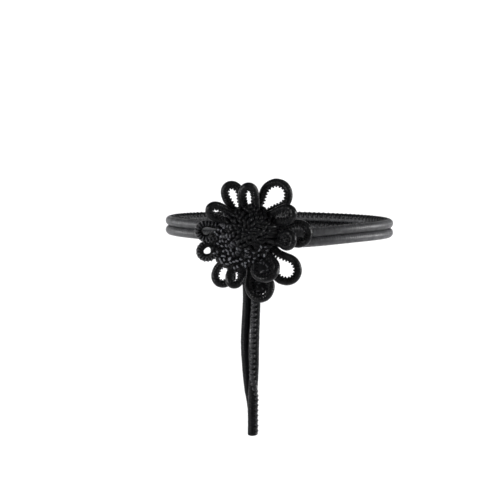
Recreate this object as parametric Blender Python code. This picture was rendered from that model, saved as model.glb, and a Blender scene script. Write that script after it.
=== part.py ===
"""A rope belt of laced leather cord: two turns round the waist, a flower knot of fourteen loops, two tails.

Metres, +Z up. The origin is the middle of the waist, +X is to the right as seen from the front and the
front is towards -Y.
"""

import math

import bmesh
import bpy
import numpy as np
from mathutils import Matrix, Vector

# The waist: the ellipse that the strands' centrelines follow
WAIST_WIDTH = 0.2310
WAIST_DEPTH = 0.1770
# Round cord of the strands and tails, and the tighter drawn cord of the loops
STRAND_WIDTH = 0.0094
TAIL_WIDTH = 0.0095
PETAL_CORD_WIDTH = 0.0078
# Space kept between pieces that touch
CLEARANCE = 0.0003
# How much higher the belt lies at its left end than at its right end
BELT_TILT = 0.0030
# How far the knot's weight draws the strands down, where, and over what half width
FRONT_DIP = 0.0060
DIP_PLACE = 0.0110
DIP_HALF_WIDTH = 0.0620
# The flower knot: its middle seen from the front, and the reach of its longest loop
KNOT_PLACE_X = -0.0300
KNOT_PLACE_Z = 0.0020
FLOWER_REACH = 0.0750
# How deep a loop's ends sit in the knot, the height of its dome and the wall behind the strands
SEAT_DEPTH = 0.0080
DOME_HEIGHT = 0.0120
BACK_WALL = 0.0017
# One bight of the woven middle
BIGHT_WIDTH = 0.0052
BIGHT_LENGTH = 0.0098
FRONT_BIGHTS = 36
BACK_BIGHTS = 16
# The share of the knot's radius that the bights cover, and how deep each is sunk, as a share of its width
BIGHT_REACH = 0.80
BIGHT_SUNK = 0.10

# Points along each cord, and the roundness of its section
STRAND_POINTS = 50
PETAL_POINTS = 18
TAIL_POINTS = 18
TUBE_RESOLUTION = 2
KNOT_SEGMENTS = 26
KNOT_RINGS = 14

# The loops, clockwise from the top in each layer. Angles are in degrees, counted from +X towards +Z: root
# is where the loop leaves the knot and lean is where it points. Foot is how wide its two limbs stand at the
# root, counted in limbs that touch. Reach is the outer tip, neck the place where the limbs part, spread the
# centreline's half width and rise how far the tip stands forward, all as shares of FLOWER_REACH. Roll, in
# degrees, brings the anticlockwise limb forward.
PETAL_COLUMNS = ("name", "root", "lean", "foot", "reach", "neck", "spread", "rise", "roll")
BACK_PETALS = (
    ("petal_back_1", 61, 54, 1.50, 0.838, 0.370, 0.176, 0.040, 0),
    ("petal_back_2", 2, -3, 1.10, 0.858, 0.470, 0.145, 0.030, 0),
    ("petal_back_3", -43, -47, 1.00, 0.946, 0.490, 0.165, 0.050, 0),
    ("petal_back_4", -86, -80, 1.00, 0.988, 0.540, 0.153, 0.130, 0),
    ("petal_back_5", -129, -121, 1.00, 0.885, 0.520, 0.120, 0.040, 0),
    ("petal_back_6", 178, 180, 1.20, 0.758, 0.480, 0.098, 0.030, 0),
    ("petal_back_7", 119, 115, 1.40, 0.745, 0.400, 0.111, 0.040, 0),
)
FRONT_PETALS = (
    ("petal_front_1", 90, 92, 1.50, 0.678, 0.360, 0.093, 0.120, 6),
    ("petal_front_2", 33, 26, 1.10, 0.700, 0.380, 0.095, 0.130, -8),
    ("petal_front_3", -15, -12, 1.00, 0.648, 0.430, 0.096, 0.190, 10),
    ("petal_front_4", -63, -67, 1.10, 0.722, 0.370, 0.152, 0.260, 0),
    ("petal_front_5", -110, -108, 1.00, 0.805, 0.510, 0.085, 0.170, -10),
    ("petal_front_6", -158, -156, 1.10, 0.788, 0.500, 0.092, 0.120, 5),
    ("petal_front_7", 144, 149, 1.20, 0.689, 0.380, 0.089, 0.100, -5),
)

# The loops' common form: where a limb is widest and where it turns in, as shares of the way from neck to
# tip, its width there as a share of the spread, and how the rise grows along the loop
WIDEST = 0.52
SHOULDER = 0.87
SHOULDER_WIDTH = 0.70
NECK_FLARE = 0.06
RISE_POWER = 1.3
# The least length of limb between the root and the neck, as a share of SEAT_DEPTH
LEAST_NECK = 0.2

# Route points of the tails, chosen by hand and counted from the place where each leaves the knot
TAIL_PLACES_X = {"tail_left": -0.0042, "tail_right": 0.0068}
TAIL_ROUTES = {
    "tail_left": (
        (0.0000, 0.0000, 0.0000),
        (-0.0002, 0.0000, -0.0240),
        (0.0012, 0.0000, -0.0520),
        (-0.0008, -0.0030, -0.0970),
        (0.0005, -0.0050, -0.1240),
        (0.0027, -0.0058, -0.1460),
        (0.0055, -0.0062, -0.1620),
        (0.0067, -0.0068, -0.1780),
        (0.0067, -0.0072, -0.1945),
    ),
    "tail_right": (
        (0.0000, 0.0000, 0.0000),
        (0.0000, -0.0005, -0.0240),
        (-0.0007, -0.0050, -0.0520),
        (-0.0021, -0.0105, -0.0970),
        (-0.0025, -0.0145, -0.1240),
        (-0.0038, -0.0168, -0.1480),
        (-0.0044, -0.0174, -0.1700),
        (-0.0043, -0.0177, -0.1945),
    ),
}

# Places that follow from the sizes above
STRAND_SPACING = STRAND_WIDTH + CLEARANCE
LAYER_SPACING = PETAL_CORD_WIDTH + 2 * CLEARANCE
LIMB_SPACING = PETAL_CORD_WIDTH + CLEARANCE
BACK_LAYER_Y = -(WAIST_DEPTH + STRAND_WIDTH + PETAL_CORD_WIDTH) / 2 - 2 * CLEARANCE
FRONT_LAYER_Y = BACK_LAYER_Y - LAYER_SPACING


def waist_point(angle, offset):
    """A point of a strand's centreline. Angle 0 is the middle of the front, and the dip fades to the back."""
    x = WAIST_WIDTH / 2 * math.sin(angle)
    y = -WAIST_DEPTH / 2 * math.cos(angle)
    front = (1 + math.cos(angle)) / 2
    dip = FRONT_DIP * front * math.exp(-(((x - DIP_PLACE) / DIP_HALF_WIDTH) ** 2))
    return Vector((x, y, offset - BELT_TILT * x / WAIST_WIDTH - dip))


# The middle between the two strands, behind the knot
STRANDS_MIDDLE = waist_point(math.asin(2 * KNOT_PLACE_X / WAIST_WIDTH), 0)
KNOT_BACK_Y = STRANDS_MIDDLE.y + STRAND_WIDTH / 2 + CLEARANCE + BACK_WALL
KNOT_FRONT_Y = FRONT_LAYER_Y - PETAL_CORD_WIDTH / 2 - DOME_HEIGHT
KNOT_MIDDLE = Vector((KNOT_PLACE_X, (KNOT_BACK_Y + KNOT_FRONT_Y) / 2, KNOT_PLACE_Z))


def root_circle(petals):
    """Radius of the circle on which a layer's limbs just stand clear of each other."""
    least = 0
    rows = [dict(zip(PETAL_COLUMNS, row)) for row in petals]
    for one in rows:
        others = [abs((one["root"] - other["root"] + 180) % 360 - 180) for other in rows if other is not one]
        half = math.radians(min(others) / 2)
        least = max(least, (1 + one["foot"] * math.cos(half)) / math.sin(half))
    return least * LIMB_SPACING / 2


ROOT_RADIUS = max(root_circle(BACK_PETALS), root_circle(FRONT_PETALS))
KNOT_RADIUS = ROOT_RADIUS + SEAT_DEPTH
KNOT_SIZE = Vector((KNOT_RADIUS, (KNOT_BACK_Y - KNOT_FRONT_Y) / 2, KNOT_RADIUS))

# The tails start in the knot, just below the lower strand
TAIL_DROP = STRAND_SPACING / 2 + STRAND_WIDTH / 2 + BACK_WALL


def smooth_points(route, count):
    """Points at even distances on the smooth curve that passes through the route's points."""
    route = np.array([tuple(p) for p in route])
    ends = np.vstack([2 * route[0] - route[1], route, 2 * route[-1] - route[-2]])
    t = np.linspace(0, 1, 24, endpoint=False)[:, None]
    runs = []
    for a, b, c, d in zip(ends, ends[1:], ends[2:], ends[3:]):
        bend = 2 * a - 5 * b + 4 * c - d
        twist = 3 * (b - c) + d - a
        runs.append(b + 0.5 * t * (c - a + t * (bend + t * twist)))
    dense = np.vstack([*runs, route[-1:]])
    along = np.concatenate([[0], np.cumsum(np.linalg.norm(np.diff(dense, axis=0), axis=1))])
    at = np.linspace(0, along[-1], count)
    return [Vector([np.interp(s, along, dense[:, k]) for k in range(3)]) for s in at]


def petal_route(row, layer_y):
    """The loop's own route points: up one limb, round the tip and down the other."""
    petal = dict(zip(PETAL_COLUMNS, row))
    tip = petal["reach"] * FLOWER_REACH - PETAL_CORD_WIDTH / 2
    neck = max(petal["neck"] * FLOWER_REACH, ROOT_RADIUS + LEAST_NECK * SEAT_DEPTH)
    width = petal["spread"] * FLOWER_REACH
    rise = petal["rise"] * FLOWER_REACH
    roll = math.radians(petal["roll"])
    middle = (petal["root"] + petal["lean"]) / 2
    foot = petal["foot"] * LIMB_SPACING / 2
    sections = (
        (ROOT_RADIUS, foot, petal["root"]),
        (neck, foot + NECK_FLARE * width, middle),
        (neck + WIDEST * (tip - neck), width, petal["lean"]),
        (neck + SHOULDER * (tip - neck), SHOULDER_WIDTH * width, petal["lean"]),
    )
    limbs = []
    for side in (1, -1):
        limb = []
        for along, across, angle in sections:
            limb.append(petal_point(layer_y, angle, along, side * across, rise, roll, tip))
        limbs.append(limb)
    end = petal_point(layer_y, petal["lean"], tip, 0, rise, roll, tip)
    return [*limbs[0], end, *reversed(limbs[1])]


def petal_point(layer_y, angle, along, across, rise, roll, tip):
    """One point of a loop, by its distance from the knot's middle and from the loop's own axis."""
    turn = math.radians(angle)
    share = max(0.0, (along - ROOT_RADIUS) / (tip - ROOT_RADIUS))
    outward = Vector((math.cos(turn), 0, math.sin(turn)))
    sideways = Vector((-math.sin(turn), 0, math.cos(turn)))
    forward = rise * share**RISE_POWER + across * math.sin(roll) * share
    start = Vector((KNOT_PLACE_X, layer_y - forward, KNOT_PLACE_Z))
    return start + along * outward + across * sideways


def tail_route(name):
    """The tail's route points in the belt's frame."""
    start = STRANDS_MIDDLE + Vector((TAIL_PLACES_X[name], 0, -TAIL_DROP))
    return [start + Vector(step) for step in TAIL_ROUTES[name]]


def make_collection(name, parent):
    """A new collection in another."""
    collection = bpy.data.collections.new(name)
    parent.children.link(collection)
    return collection


def leather(name, colour, roughness):
    """Smooth black leather."""
    material = bpy.data.materials.new(name)
    material.use_nodes = True
    shader = material.node_tree.nodes["Principled BSDF"]
    shader.inputs["Base Color"].default_value = (*colour, 1)
    shader.inputs["Roughness"].default_value = roughness
    shader.inputs["Metallic"].default_value = 0.0
    material.diffuse_color = (*colour, 1)
    return material


def tube(name, points, width, collection, closed=False):
    """A round cord along the points, as a curve object."""
    curve = bpy.data.curves.new(name, "CURVE")
    curve.dimensions = "3D"
    curve.bevel_depth = width / 2
    curve.bevel_resolution = TUBE_RESOLUTION
    curve.use_fill_caps = not closed
    spline = curve.splines.new("POLY")
    spline.points.add(len(points) - 1)
    for spot, point in zip(spline.points, points):
        spot.co = (*point, 1)
        spot.radius = 1
    spline.use_cyclic_u = closed
    spline.use_smooth = True
    cord = bpy.data.objects.new(name, curve)
    collection.objects.link(cord)
    return cord


def as_mesh(source, name, collection):
    """The curve object's shape as a closed mesh object, in place of the curve."""
    bpy.context.view_layer.update()
    graph = bpy.context.evaluated_depsgraph_get()
    mesh = bpy.data.meshes.new_from_object(source.evaluated_get(graph))
    mesh.name = name
    shape = bmesh.new()
    shape.from_mesh(mesh)
    bmesh.ops.remove_doubles(shape, verts=shape.verts, dist=1e-6)
    shape.to_mesh(mesh)
    shape.free()
    made = bpy.data.objects.new(name, mesh)
    made.matrix_world = source.matrix_world
    collection.objects.link(made)
    bpy.data.objects.remove(source)
    return made


def all_cords():
    """Every cord as name, centreline points, width and whether it closes on itself."""
    cords = []
    for name, side in (("waist_strand_upper", 1), ("waist_strand_lower", -1)):
        angles = [2 * math.pi * k / STRAND_POINTS for k in range(STRAND_POINTS)]
        points = [waist_point(angle, side * STRAND_SPACING / 2) for angle in angles]
        cords.append((name, points, STRAND_WIDTH, True))
    for petals, layer_y in ((BACK_PETALS, BACK_LAYER_Y), (FRONT_PETALS, FRONT_LAYER_Y)):
        for row in petals:
            points = smooth_points(petal_route(row, layer_y), PETAL_POINTS)
            cords.append((row[0], points, PETAL_CORD_WIDTH, False))
    for name in TAIL_ROUTES:
        cords.append((name, smooth_points(tail_route(name), TAIL_POINTS), TAIL_WIDTH, False))
    return cords


def bight_places(count, side):
    """Places and directions of the bights, in an even spiral from the middle of one face of the knot."""
    golden = math.pi * (3 - math.sqrt(5))
    for k in range(count):
        radius = BIGHT_REACH * math.sqrt((k + 0.5) / count)
        angle = golden * k
        x = radius * math.cos(angle)
        z = radius * math.sin(angle)
        y = side * math.sqrt(1 - x * x - z * z)
        place = Vector((x * KNOT_SIZE.x, y * KNOT_SIZE.y, z * KNOT_SIZE.z))
        normal = Vector((x / KNOT_SIZE.x, y / KNOT_SIZE.y, z / KNOT_SIZE.z)).normalized()
        yield place, normal, angle + k % 2 * math.pi / 2


def add_bights(shape):
    """Short rounded bights laid on both faces of the knot, each turned its own way."""
    for count, side in ((FRONT_BIGHTS, -1), (BACK_BIGHTS, 1)):
        for place, normal, spin in bight_places(count, side):
            turn = normal.to_track_quat("Z", "Y").to_matrix().to_4x4() @ Matrix.Rotation(spin, 4, "Z")
            size = Matrix.Diagonal((BIGHT_LENGTH / 2, BIGHT_WIDTH / 2, BIGHT_WIDTH / 2, 1))
            sunk = KNOT_MIDDLE + place - normal * BIGHT_SUNK * BIGHT_WIDTH
            bmesh.ops.create_icosphere(
                shape, subdivisions=1, radius=1, matrix=Matrix.Translation(sunk) @ turn @ size
            )


def mesh_object(name, shape, collection):
    """A mesh object from a bmesh, which is freed."""
    mesh = bpy.data.meshes.new(name)
    shape.to_mesh(mesh)
    shape.free()
    made = bpy.data.objects.new(name, mesh)
    collection.objects.link(made)
    return made


def hide_cutter(cutter):
    """Marks an object as a cutter only."""
    cutter.hide_render = True
    cutter.display_type = "WIRE"


def make_knot(cords, part, cutters, material):
    """The domed woven middle, with a seat for each cord that runs into it."""
    core = bmesh.new()
    size = Matrix.Diagonal((*KNOT_SIZE, 1))
    facing = Matrix.Rotation(math.pi / 2, 4, "X")
    placed = Matrix.Translation(KNOT_MIDDLE) @ size @ facing
    bmesh.ops.create_uvsphere(
        core, u_segments=KNOT_SEGMENTS, v_segments=KNOT_RINGS, radius=1, matrix=placed
    )
    knot = mesh_object("knot_centre", core, part)
    knot.data.materials.append(material)
    knot.data.shade_smooth()
    bights = bmesh.new()
    add_bights(bights)
    relief = mesh_object("bight_relief", bights, cutters)
    hide_cutter(relief)
    seats = make_collection("seats", cutters)
    join = knot.modifiers.new("bights", "BOOLEAN")
    join.operation = "UNION"
    join.solver = "EXACT"
    join.use_self = True
    join.object = relief
    for name, points, width, closed in cords:
        seat = tube("seat_" + name, points, width + 2 * CLEARANCE, seats, closed)
        hide_cutter(as_mesh(seat, "seat_" + name, seats))
    cut = knot.modifiers.new("seats", "BOOLEAN")
    cut.operation = "DIFFERENCE"
    cut.solver = "EXACT"
    cut.operand_type = "COLLECTION"
    cut.collection = seats


def main():
    for old in list(bpy.data.objects):
        bpy.data.objects.remove(old)
    part = make_collection("rope_belt", bpy.context.scene.collection)
    cutters = make_collection("cutters", bpy.context.scene.collection)
    satin = leather("satin_leather", (0.018, 0.018, 0.021), 0.38)
    drawn = leather("drawn_leather", (0.014, 0.014, 0.016), 0.42)
    woven = leather("woven_leather", (0.012, 0.012, 0.014), 0.45)
    cords = all_cords()
    for name, points, width, closed in cords:
        made = tube(name, points, width, part, closed)
        made.data.materials.append(drawn if name.startswith("petal") else satin)
    make_knot(cords, part, cutters, woven)


main()
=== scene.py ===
"""The looks of a rope belt of laced leather cord, with its flower knot and tails, in a plain studio."""

import math
import random
from collections import namedtuple

import bmesh
import bpy
import numpy as np
from bpy.props import FloatProperty, FloatVectorProperty, IntProperty, PointerProperty
from bpy.types import Operator, Panel, PropertyGroup
from mathutils import Matrix, Vector


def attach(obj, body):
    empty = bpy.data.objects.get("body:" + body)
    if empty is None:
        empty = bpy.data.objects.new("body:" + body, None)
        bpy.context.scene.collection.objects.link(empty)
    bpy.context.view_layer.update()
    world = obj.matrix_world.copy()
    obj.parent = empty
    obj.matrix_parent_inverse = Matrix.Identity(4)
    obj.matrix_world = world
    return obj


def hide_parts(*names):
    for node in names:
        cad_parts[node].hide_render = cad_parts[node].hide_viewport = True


bl_info = {
    "name": "Rope Belt",
    "version": (1, 0, 0),
    "blender": (4, 5, 0),
    "location": "3D View > Sidebar > Rope Belt",
    "description": "Finishes a rope belt of laced leather cord round its construction model",
    "category": "Object",
}

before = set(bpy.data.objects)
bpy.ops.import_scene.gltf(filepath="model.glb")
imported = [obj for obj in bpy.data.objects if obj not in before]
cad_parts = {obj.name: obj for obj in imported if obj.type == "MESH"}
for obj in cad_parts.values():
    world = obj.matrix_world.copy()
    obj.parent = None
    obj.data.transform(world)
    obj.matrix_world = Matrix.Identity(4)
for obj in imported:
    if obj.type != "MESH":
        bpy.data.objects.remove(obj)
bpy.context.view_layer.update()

# The construction model's own sizes, in metres
WAIST_WIDTH = 0.2310
WAIST_DEPTH = 0.1770
STRAND_WIDTH = 0.0094
TAIL_WIDTH = 0.0095
LOOP_WIDTH = 0.0078
CLEARANCE = 0.0003
BELT_TILT = 0.0030
FRONT_DIP = 0.0060
DIP_PLACE = 0.0110
DIP_HALF_WIDTH = 0.0620
KNOT_PLACE_X = -0.0300
KNOT_PLACE_Z = 0.0020
FLOWER_REACH = 0.0750
SEAT_DEPTH = 0.0080
DOME_HEIGHT = 0.0120
BACK_WALL = 0.0017

# The loops, as in the construction model. Angles are in degrees from +X towards +Z: root is where the loop
# leaves the knot and lean is where it points. Foot is how wide its limbs stand at the root, in limbs that
# touch. Reach, neck, spread and rise are shares of FLOWER_REACH. Roll brings one limb forward, in degrees.
LOOP_COLUMNS = ("name", "root", "lean", "foot", "reach", "neck", "spread", "rise", "roll")
BACK_LOOPS = (
    ("petal_back_1", 61, 54, 1.50, 0.838, 0.370, 0.176, 0.040, 0),
    ("petal_back_2", 2, -3, 1.10, 0.858, 0.470, 0.145, 0.030, 0),
    ("petal_back_3", -43, -47, 1.00, 0.946, 0.490, 0.165, 0.050, 0),
    ("petal_back_4", -86, -80, 1.00, 0.988, 0.540, 0.153, 0.130, 0),
    ("petal_back_5", -129, -121, 1.00, 0.885, 0.520, 0.120, 0.040, 0),
    ("petal_back_6", 178, 180, 1.20, 0.758, 0.480, 0.098, 0.030, 0),
    ("petal_back_7", 119, 115, 1.40, 0.745, 0.400, 0.111, 0.040, 0),
)
FRONT_LOOPS = (
    ("petal_front_1", 90, 92, 1.50, 0.678, 0.360, 0.093, 0.120, 6),
    ("petal_front_2", 33, 26, 1.10, 0.700, 0.380, 0.095, 0.130, -8),
    ("petal_front_3", -15, -12, 1.00, 0.648, 0.430, 0.096, 0.190, 10),
    ("petal_front_4", -63, -67, 1.10, 0.722, 0.370, 0.152, 0.260, 0),
    ("petal_front_5", -110, -108, 1.00, 0.805, 0.510, 0.085, 0.170, -10),
    ("petal_front_6", -158, -156, 1.10, 0.788, 0.500, 0.092, 0.120, 5),
    ("petal_front_7", 144, 149, 1.20, 0.689, 0.380, 0.089, 0.100, -5),
)
WIDEST = 0.52
SHOULDER = 0.87
SHOULDER_WIDTH = 0.70
NECK_FLARE = 0.06
RISE_POWER = 1.3
LEAST_NECK = 0.2

# Where each loop's laced seam lies, in degrees: 0 faces the loop's own opening, 90 the front and 180 away
# from the opening, round the loop and at its root
SEAM_PLACES = {
    "petal_back_4": (10, -40),
    "petal_back_5": (14, 74),
    "petal_back_6": (118, 84),
    "petal_front_4": (4, 50),
    "petal_front_5": (16, 74),
    "petal_front_6": (140, 76),
    "petal_front_7": (14, 40),
}
USUAL_SEAM = (12, -50)
# The share of the loop over which its seam turns from the one to the other
SEAM_TURN = 0.24
# The loops whose limbs show on the knot, laced and plain, and the sectors of the knot that they take. The
# lace of the laced ones reaches this many degrees to both sides of the seam
LACED_ROOTS = {"petal_back_5": 32, "petal_back_6": 54, "petal_front_5": 32, "petal_front_6": 36}
PLAIN_ROOTS = ("petal_back_2", "petal_front_3")
ROOT_SECTORS = ((168, 262), (338, 360), (0, 12))
# The share of the knot's radius from which they take them
ROOT_SECTORS_FROM = 0.66
# How wide the lace of the laced ones is against the other loops' lace
LACED_LOOP_LACE = 0.7
# How many times paler the lace is made on those loops and on the tails, as painted glints and highlights
ROOT_LACE_PAINTED_GLINT = 7
TAIL_LACE_PAINTED_HIGHLIGHT = 3
# How high the knot's bights arch, and the share of its radius that they cover
BIGHT_HEIGHT = 0.0026
BIGHT_COVER = 0.93
# The share of any bight's height that is sunk in what it lies on
BIGHT_SINK = 0.72
# The turn from one bight of an even spiral to the next
GOLDEN_ANGLE = math.pi * (3 - math.sqrt(5))
# The small bights that spill over the limbs at the knot's lower left lie between these shares of the knot's
# radius. They follow its dome out to the third share, and then lie on the limbs, this far before them
LOW_BIGHTS_START = 0.60
LOW_BIGHTS_REACH = 1.50
LOW_BIGHTS_DOME = 0.80
LOW_BIGHTS_LIFT = 0.0042
# By degrees from +X towards +Z: how far out they reach, in those shares, and whose limbs they lie on, from
# 0 for the back layer's to 1 for the front layer's
LOW_BIGHTS_EDGE = (
    (166, 0.60, 0.0),
    (174, 1.22, 0.1),
    (190, 1.40, 0.5),
    (206, 1.46, 1.0),
    (232, 1.44, 1.0),
    (252, 1.40, 1.0),
    (266, 1.20, 1.0),
    (282, 0.98, 1.0),
    (312, 0.90, 1.0),
    (322, 0.60, 1.0),
)
# Their layers, the top one last: how far each stands out, and its bights' width against the knot's own
LOW_BIGHTS_LAYERS = ((-0.0024, 1.5), (-0.0024, 1.5), (0.0004, 0.86))
# The stitches on the top ones, painted pale as glints: how many of the bights have one, how many times
# paler than the lace it is, and its sizes
DOT_SHARE = 0.72
DOT_PAINTED_GLINT = 24
DOT_LENGTHS = (0.0021, 0.0032)
DOT_WIDTH = 0.0017
DOT_HEIGHT = 0.0011
DOT_RAISE = 0.0024

# The limbs that are drawn over the knot's edge: the shares of its radius that they pass, past which share
# they are still in their layer, how deep the last one is sunk, how wide their lace is against the loops'
# own, and how far round it reaches, in degrees
ROOT_STOPS = (1.06, 0.96, 0.86, 0.76, 0.66, 0.56)
ROOT_EDGE = 0.9
ROOT_SINK = 0.0035
ROOT_LACE = 0.9
ROOT_LACE_REACH = 30

# The loops whose openings are taken up by a bight from the knot: how far short of the tip it ends, in widths
# of cord, how far it is pressed in under the limbs and set back behind them, where its end starts to round
# off, where its stitches start, and the length, width, height and curl of one
FILLED_LOOPS = ("petal_front_4", "petal_back_4")
INNER_SHORT = 0.66
INNER_PRESS = 0.0022
INNER_BACK = 0.0012
INNER_ROUND = 0.84
INNER_STITCHED = 0.45
INNER_STITCH = (0.0034, 0.0012, 0.0009, 0.0004)

# Route points of the tails, counted from the place where each leaves the knot
TAIL_PLACES_X = {"tail_left": -0.0042, "tail_right": 0.0068}
TAIL_ROUTES = {
    "tail_left": (
        (0.0000, 0.0000, 0.0000),
        (-0.0002, 0.0000, -0.0240),
        (0.0012, 0.0000, -0.0520),
        (-0.0008, -0.0030, -0.0970),
        (0.0005, -0.0050, -0.1240),
        (0.0027, -0.0058, -0.1460),
        (0.0055, -0.0062, -0.1620),
        (0.0067, -0.0068, -0.1780),
        (0.0067, -0.0072, -0.1945),
    ),
    "tail_right": (
        (0.0000, 0.0000, 0.0000),
        (0.0000, -0.0005, -0.0240),
        (-0.0007, -0.0050, -0.0520),
        (-0.0021, -0.0105, -0.0970),
        (-0.0025, -0.0145, -0.1240),
        (-0.0038, -0.0168, -0.1480),
        (-0.0044, -0.0174, -0.1700),
        (-0.0043, -0.0177, -0.1945),
    ),
}
# How a tail's seam turns on its way down: share of the length, and degrees from the front towards +X
TAIL_SEAMS = {
    "tail_left": ((0.0, -156), (0.5, -160), (1.0, -172)),
    "tail_right": ((0.0, -30), (0.68, -34), (0.80, 76), (1.0, 84)),
}
# Both strands' seams are turned in towards the waist, in degrees from +Z outwards
STRAND_SEAMS = {"waist_strand_upper": -52, "waist_strand_lower": -46}

# Places that follow from the sizes above
STRAND_SPACING = STRAND_WIDTH + CLEARANCE
LIMB_SPACING = LOOP_WIDTH + CLEARANCE
BACK_LAYER_Y = -(WAIST_DEPTH + STRAND_WIDTH + LOOP_WIDTH) / 2 - 2 * CLEARANCE
FRONT_LAYER_Y = BACK_LAYER_Y - LOOP_WIDTH - 2 * CLEARANCE
LAYERS = [
    [dict(zip(LOOP_COLUMNS, row), layer_y=layer_y) for row in rows]
    for rows, layer_y in ((BACK_LOOPS, BACK_LAYER_Y), (FRONT_LOOPS, FRONT_LAYER_Y))
]
LOOPS = [loop for layer in LAYERS for loop in layer]
FRONT = Vector((0, -1, 0))
RIGHT = Vector((1, 0, 0))
UP = Vector((0, 0, 1))

# How finely the cords are built: points round a cord, a plain one and a lace, rings along the short ones,
# and the step along a cord
SLEEVE_COLUMNS = 26
PLAIN_COLUMNS = 16
LACE_COLUMNS = 8
LACE_RINGS = 8
ROOT_RINGS = 16
INNER_RINGS = 18
SLEEVE_STEP = 0.0008
# How far the points round a sleeve crowd towards its seam
SEAM_CROWDING = 0.55
# How far from the seam the UV map has the holes, in turns round the cord
STRAND_HOLES = 0.205
LOOP_HOLES = 0.2
# How thick the lace is, how far the leather is drawn in at its holes, and the seam's gap, in radians
LACE_HEIGHT = 0.0015
DIMPLE = 0.0004
SEAM_GAP = 0.12
# The leather's soft waves, and how a cut end swells and rounds off, in shares of the cord's radius
WAVES = 7
WAVE_HEIGHT = 0.0035
END_SWELL = 0.06
END_ROUNDING = 0.35

Line = namedtuple("Line", "centre ahead seam side along beat beats closed")


def waist_point(angle, offset):
    """A point of a strand's centreline. Angle 0 is the middle of the front. The dip fades to the back."""
    x = WAIST_WIDTH / 2 * math.sin(angle)
    y = -WAIST_DEPTH / 2 * math.cos(angle)
    front = (1 + math.cos(angle)) / 2
    dip = FRONT_DIP * front * math.exp(-(((x - DIP_PLACE) / DIP_HALF_WIDTH) ** 2))
    return Vector((x, y, offset - BELT_TILT * x / WAIST_WIDTH - dip))


KNOT_ANGLE = math.asin(2 * KNOT_PLACE_X / WAIST_WIDTH)
STRANDS_MIDDLE = waist_point(KNOT_ANGLE, 0)
KNOT_BACK_Y = STRANDS_MIDDLE.y + STRAND_WIDTH / 2 + CLEARANCE + BACK_WALL
KNOT_FRONT_Y = FRONT_LAYER_Y - LOOP_WIDTH / 2 - DOME_HEIGHT
KNOT_MIDDLE = Vector((KNOT_PLACE_X, (KNOT_BACK_Y + KNOT_FRONT_Y) / 2, KNOT_PLACE_Z))


def root_circle(layer):
    """Radius of the circle on which a layer's limbs just stand clear of each other."""
    least = 0
    for one in layer:
        turns = [one["root"] - other["root"] for other in layer if other is not one]
        half = math.radians(min(abs((turn + 180) % 360 - 180) for turn in turns) / 2)
        least = max(least, (1 + one["foot"] * math.cos(half)) / math.sin(half))
    return least * LIMB_SPACING / 2


ROOT_RADIUS = max(root_circle(layer) for layer in LAYERS)
KNOT_RADIUS = ROOT_RADIUS + SEAT_DEPTH
KNOT_SIZE = Vector((KNOT_RADIUS, (KNOT_BACK_Y - KNOT_FRONT_Y) / 2, KNOT_RADIUS))
TAIL_DROP = STRAND_SPACING / 2 + STRAND_WIDTH / 2 + BACK_WALL


def distances(points):
    """How far along a line each of its points is."""
    return np.concatenate([[0], np.cumsum(np.linalg.norm(np.diff(points, axis=0), axis=1))])


def rows_at(at, along, rows):
    """A line's rows, read at one place along it or at many."""
    return np.stack([np.interp(at, along, rows[:, k]) for k in range(3)], axis=-1)


def even_points(dense, step):
    """Points at even distances, about a step apart, along a line of many points."""
    dense = np.array([tuple(p) for p in dense])
    along = distances(dense)
    count = max(2, round(along[-1] / step) + 1)
    return rows_at(np.linspace(0, along[-1], count), along, dense)


def smooth_route(route):
    """Many points of the smooth curve that passes through the route's points."""
    route = np.array([tuple(p) for p in route])
    ends = np.vstack([2 * route[0] - route[1], route, 2 * route[-1] - route[-2]])
    t = np.linspace(0, 1, 60, endpoint=False)[:, None]
    runs = []
    for a, b, c, d in zip(ends, ends[1:], ends[2:], ends[3:]):
        bend = 2 * a - 5 * b + 4 * c - d
        twist = 3 * (b - c) + d - a
        runs.append(b + 0.5 * t * (c - a + t * (bend + t * twist)))
    return np.vstack([*runs, route[-1:]])


def loop_point(loop, tip, angle, along, across):
    """One point of a loop, by its distance from the knot's middle and from the loop's own axis."""
    turn = math.radians(angle)
    share = max(0.0, (along - ROOT_RADIUS) / (tip - ROOT_RADIUS))
    outward = Vector((math.cos(turn), 0, math.sin(turn)))
    sideways = Vector((-math.sin(turn), 0, math.cos(turn)))
    rise = loop["rise"] * FLOWER_REACH
    forward = rise * share**RISE_POWER + across * math.sin(math.radians(loop["roll"])) * share
    start = Vector((KNOT_PLACE_X, loop["layer_y"] - forward, KNOT_PLACE_Z))
    return start + along * outward + across * sideways


def loop_route(loop):
    """The loop's route points: up one limb, round the tip and down the other."""
    tip = loop["reach"] * FLOWER_REACH - LOOP_WIDTH / 2
    neck = max(loop["neck"] * FLOWER_REACH, ROOT_RADIUS + LEAST_NECK * SEAT_DEPTH)
    width = loop["spread"] * FLOWER_REACH
    foot = loop["foot"] * LIMB_SPACING / 2
    sections = (
        (loop["root"], ROOT_RADIUS, foot),
        ((loop["root"] + loop["lean"]) / 2, neck, foot + NECK_FLARE * width),
        (loop["lean"], neck + WIDEST * (tip - neck), width),
        (loop["lean"], neck + SHOULDER * (tip - neck), SHOULDER_WIDTH * width),
    )
    up = [loop_point(loop, tip, *section) for section in sections]
    down = [loop_point(loop, tip, angle, along, -across) for angle, along, across in reversed(sections)]
    return [*up, loop_point(loop, tip, loop["lean"], tip, 0), *down]


def tail_route(name):
    """The tail's route points in the belt's frame."""
    start = STRANDS_MIDDLE + Vector((TAIL_PLACES_X[name], 0, -TAIL_DROP))
    return [start + Vector(step) for step in TAIL_ROUTES[name]]


def unit(rows):
    """Each row scaled to length 1."""
    return rows / np.linalg.norm(rows, axis=1, keepdims=True)


def across_line(rows, ahead):
    """The part of each row that lies square to the line, scaled to length 1."""
    return unit(rows - ahead * np.sum(rows * ahead, axis=1, keepdims=True))


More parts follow.
